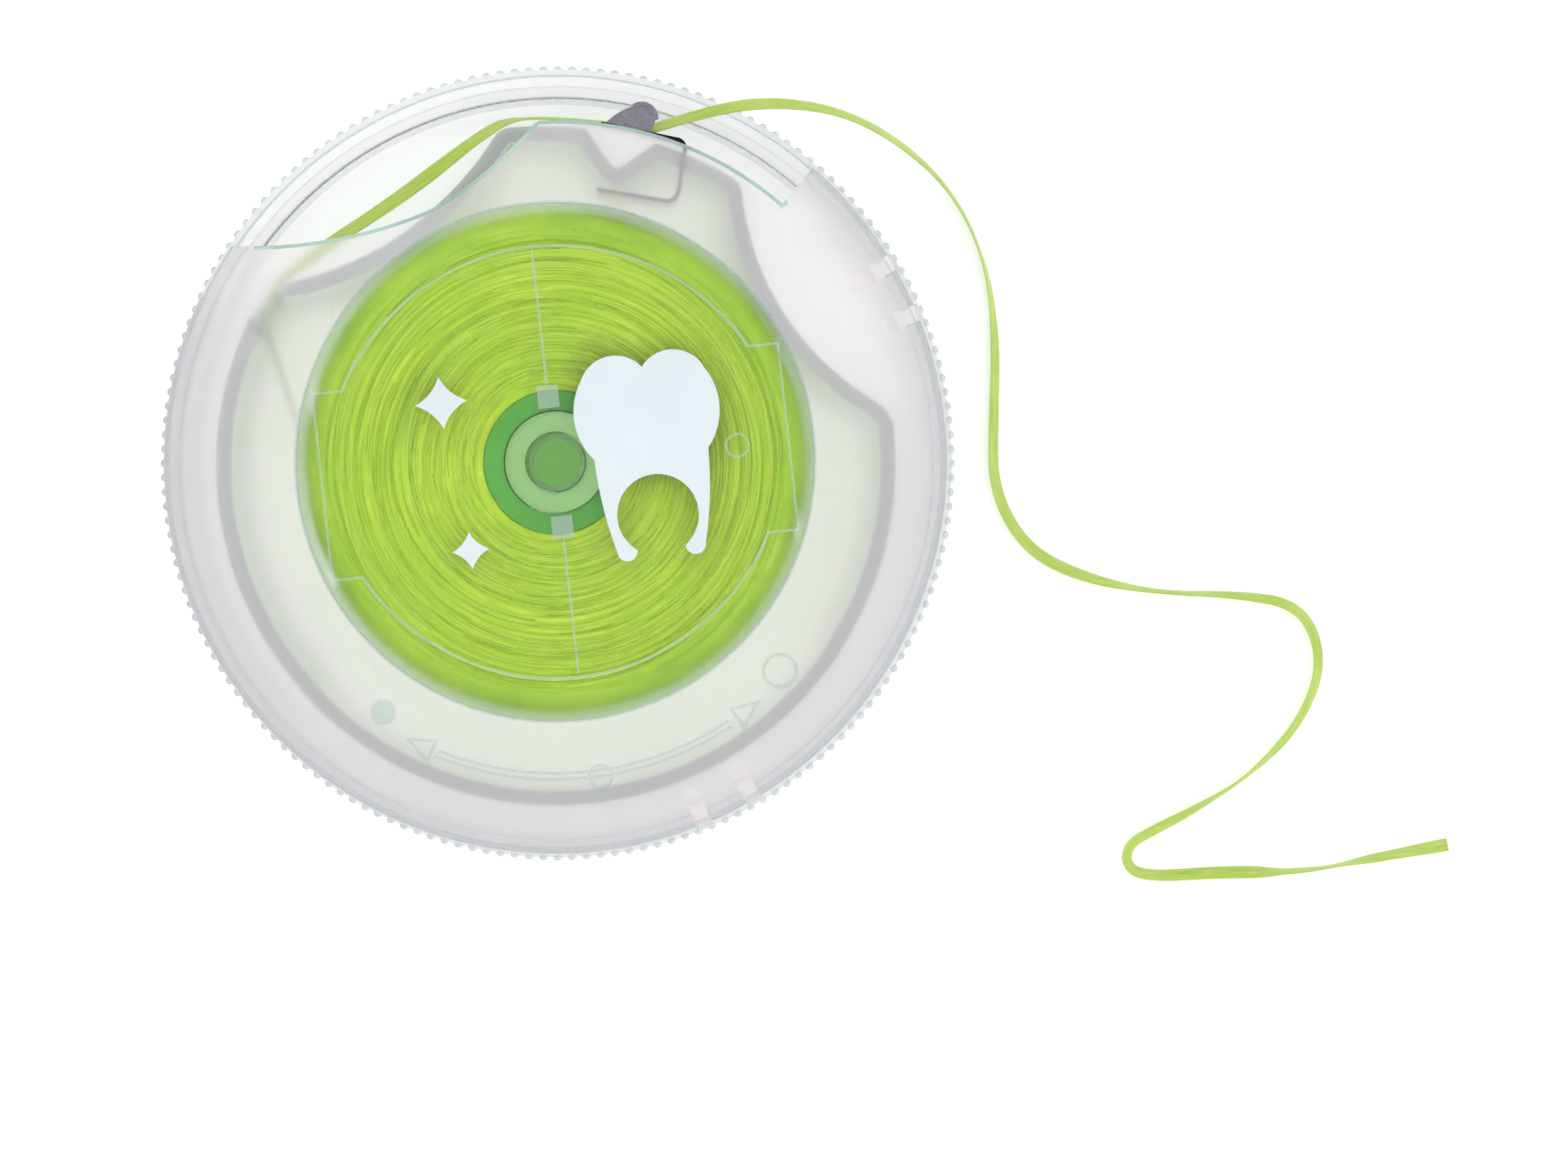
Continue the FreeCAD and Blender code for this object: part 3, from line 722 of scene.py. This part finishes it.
tape = {
    "width": 1.1 * mm,
    "thickness": 0.13 * mm,
    "sides": 14,
    "blunt": (0.8, 0.6),           # how square the section is across and through
    "dent": 0.105,                 # how much thinner the middle is than the edges
    "dentTurn": 3.1,
    "stepsPerRun": 14,
    "tableGap": 0.02 * mm,
    "liesBelow": 0.9 * mm,         # centres lower than this rest on the table
    "looseRoute": [
        (7.0, 25.1, 8.3), (10.4, 26.2, 8.5), (15.4, 27.2, 9.0), (21.2, 26.7, 6.6),
        (26.2, 24.2, 2.8), (30.3, 20.2, 0.55), (32.6, 14.8, 0.55), (33.2, 9.0, 0.55),
        (33.0, 3.0, 0.55), (33.0, -2.0, 0.55), (35.4, -6.4, 0.55), (39.6, -8.6, 0.55),
        (45.4, -9.8, 0.55), (51.4, -9.9, 0.55), (56.4, -10.7, 0.55), (58.1, -14.9, 0.55),
        (56.4, -19.6, 0.55), (52.5, -23.7, 0.55), (48.0, -26.4, 0.55), (45.2, -27.8, 0.55),
        (43.4, -28.8, 0.55), (43.0, -30.1, 0.55), (43.8, -31.1, 0.55), (46.0, -31.3, 0.55),
        (50.0, -31.0, 0.55), (56.5, -31.0, 0.55), (62.0, -29.9, 0.55), (67.5, -28.9, 0.55),
    ],
    "looseRoll": [
        (0.0, 45), (0.06, 36), (0.14, 60), (0.24, 80), (0.33, 50), (0.45, 36), (0.52, 74),
        (0.60, 44), (0.68, 56), (0.72, 78), (0.78, 46), (0.88, 32), (0.905, 70), (0.93, 80),
        (0.96, 52), (1.0, 28),
    ],
    "feedRoute": [
        (-19.3, 0.4, 7.6), (-21.1, 6.3, 7.6), (-22.5, 12.6, 7.7), (-18.0, 16.0, 7.8),
        (-11.6, 20.1, 7.8), (-5.4, 25.0, 7.9), (-3.1, 26.0, 7.9), (1.0, 25.9, 8.1),
        (7.0, 25.1, 8.3),
    ],
    "feedRoll": [(0.0, 75), (0.25, 70), (0.45, 30), (0.6, 15), (0.72, 40), (0.8, 80), (1.0, 60)],
}


# points along a smooth curve through the route, which is its control line
def smoothRoute(name, points, perRun):
    curve = bpy.data.curves.new(name, "CURVE")
    curve.dimensions = "3D"
    curve.resolution_u = perRun
    spline = curve.splines.new("NURBS")
    spline.points.add(len(points) - 1)
    for knot, point in zip(spline.points, points):
        knot.co = (*(Vector(point) * mm), 1)
    spline.order_u = 3
    spline.use_endpoint_u = True
    holder = bpy.data.objects.new(name, curve)
    line = bpy.data.meshes.new_from_object(holder)
    found = [v.co.copy() for v in line.vertices]
    bpy.data.objects.remove(holder)
    return found


def rollAt(keys, fraction):
    for (a, first), (b, second) in zip(keys, keys[1:]):
        if fraction <= b:
            part = (fraction - a) / (b - a)
            eased = part * part * (3 - 2 * part)
            return math.radians(first + (second - first) * eased)
    return math.radians(keys[-1][1])


# one ring of the tape's flat section, rolled about the way it runs
def tapeRing(point, ahead, roll, setup):
    side = ahead.cross(Vector((0, 0, 1))).normalized()
    up = side.cross(ahead).normalized()
    flat = side * math.cos(roll) + up * math.sin(roll)
    face = up * math.cos(roll) - side * math.sin(roll)
    ring = []
    for k in range(setup["sides"]):
        angle = 2 * math.pi * k / setup["sides"]
        across, through = (
            math.copysign(abs(part) ** power, part)
            for part, power in zip((math.cos(angle), math.sin(angle)), setup["blunt"])
        )
        dent = 1 - setup["dent"] * math.cos(angle * 2 + setup["dentTurn"])
        wide = flat * across * setup["width"] / 2
        ring.append(point + wide + face * through * setup["thickness"] / 2 * dent)
    return ring


# sets the lying rings down on the table and lifts any other that would dip below it
def restOnTable(rows, level, liesBelow):
    for row in rows:
        low = min(v.co.z for v in row)
        centre = sum((v.co for v in row), Vector()) / len(row)
        drop = low - level if centre.z < liesBelow else min(0, low - level)
        for vertex in row:
            vertex.co.z -= drop


# a thin flat tape with rounded edges along the path, with its length and girth as UV
def ribbonMesh(name, path, keys, setup, onTable):
    sides = setup["sides"]
    distance = [0.0]
    for a, b in zip(path, path[1:]):
        distance.append(distance[-1] + (b - a).length)
    work = bmesh.new()
    uvLayer = work.loops.layers.uv.new("tape")
    rows = []
    for i, point in enumerate(path):
        ahead = (path[min(i + 1, len(path) - 1)] - path[max(i - 1, 0)]).normalized()
        roll = rollAt(keys, distance[i] / distance[-1])
        rows.append([work.verts.new(place) for place in tapeRing(point, ahead, roll, setup)])
    if onTable:
        restOnTable(rows, setup["tableGap"], setup["liesBelow"])
    for i, (lower, upper) in enumerate(zip(rows, rows[1:])):
        near, far = distance[i] / mm, distance[i + 1] / mm
        for k in range(sides):
            j = (k + 1) % sides
            face = work.faces.new((lower[k], lower[j], upper[j], upper[k]))
            face.smooth = True
            values = ((near, k), (near, k + 1), (far, k + 1), (far, k))
            for loop, (along, ring) in zip(face.loops, values):
                loop[uvLayer].uv = (along, ring / sides)
    work.faces.new(list(reversed(rows[0])))
    work.faces.new(rows[-1])
    bmesh.ops.recalc_face_normals(work, faces=work.faces)
    mesh = bpy.data.meshes.new(name)
    work.to_mesh(mesh)
    work.free()
    return mesh


def tapeMaterial():
    material, nodes, links, shader = newMaterial("flossTapeGreen")
    shader.inputs["Subsurface Weight"].default_value = 0.25
    shader.inputs["Subsurface Radius"].default_value = (0.0005, 0.0006, 0.0002)
    shader.inputs["Subsurface Scale"].default_value = 1.0
    shader.inputs["Sheen Weight"].default_value = 0.1
    ends = addNode(nodes, "ShaderNodeUVMap", uv_map="tape")
    lay = addNode(nodes, "ShaderNodeMapping", Scale=(0.35, 42.0, 1.0))
    links.new(ends.outputs[0], lay.inputs["Vector"])
    fibres = addNode(nodes, "ShaderNodeTexNoise", Scale=1.0, Detail=3.0, Roughness=0.6)
    links.new(lay.outputs[0], fibres.inputs["Vector"])
    place = nodes.new("ShaderNodeTexCoord")
    wax = addNode(nodes, "ShaderNodeTexNoise", Scale=260.0, Detail=2.0)
    links.new(place.outputs["Object"], wax.inputs["Vector"])
    blend = mathNode(nodes, links, "MULTIPLY_ADD", wax.outputs["Fac"], 0.4, fibres.outputs["Fac"])
    colour = rampNode(
        nodes, links, blend,
        [
            (0.5, (0.27, 0.46, 0.03, 1)),
            (0.68, (0.40, 0.55, 0.085, 1)),
            (0.9, (0.52, 0.64, 0.20, 1)),
        ],
    )
    links.new(colour, shader.inputs["Base Color"])
    gloss = rangeNode(nodes, links, fibres.outputs["Fac"], 0.3, 0.7, 0.38, 0.55)
    links.new(gloss, shader.inputs["Roughness"])
    relief = addNode(nodes, "ShaderNodeBump", Strength=0.45, Distance=0.00005)
    links.new(fibres.outputs["Fac"], relief.inputs["Height"])
    links.new(relief.outputs["Normal"], shader.inputs["Normal"])
    return material


tapeGreen = tapeMaterial()
loosePath = smoothRoute("looseRoute", tape["looseRoute"], tape["stepsPerRun"])
looseMesh = ribbonMesh("looseTape", loosePath, tape["looseRoll"], tape, onTable=True)
looseTape = keep(looseMesh, "looseTape", tapeGreen)
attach(looseTape, "base")
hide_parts("floss_strand")

feedPath = smoothRoute("feedRoute", tape["feedRoute"], tape["stepsPerRun"])
feedMesh = ribbonMesh("feedTape", feedPath, tape["feedRoll"], tape, onTable=False)
feedTape = keep(feedMesh, "feedTape", tapeGreen)
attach(feedTape, "base")
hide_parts("floss_feed")
print("tape done")


table = {"reach": 1.5, "level": -0.02 * mm, "glow": 0.3, "tones": (0.93, 0.945)}


def floorMaterial(setup):
    material, nodes, links, shader = newMaterial("paleFloor")
    place = nodes.new("ShaderNodeTexCoord")
    cloud = addNode(nodes, "ShaderNodeTexNoise", Scale=4.0, Detail=2.0)
    links.new(place.outputs["Object"], cloud.inputs["Vector"])
    darker, lighter = ((tone, tone, tone, 1) for tone in setup["tones"])
    colour = rampNode(nodes, links, cloud.outputs["Fac"], [(0.3, darker), (0.7, lighter)])
    links.new(colour, shader.inputs["Base Color"])
    links.new(colour, shader.inputs["Emission Color"])
    shader.inputs["Emission Strength"].default_value = setup["glow"]
    shader.inputs["Roughness"].default_value = 0.9
    return material


def makeFloor(setup):
    mesh = bpy.data.meshes.new("floor")
    signs = ((-1, -1), (1, -1), (1, 1), (-1, 1))
    corners = [(x * setup["reach"], y * setup["reach"], setup["level"]) for x, y in signs]
    mesh.from_pydata(corners, [], [(0, 1, 2, 3)])
    floor = keep(mesh, "floor", floorMaterial(setup))


makeFloor(table)
print("floor done")
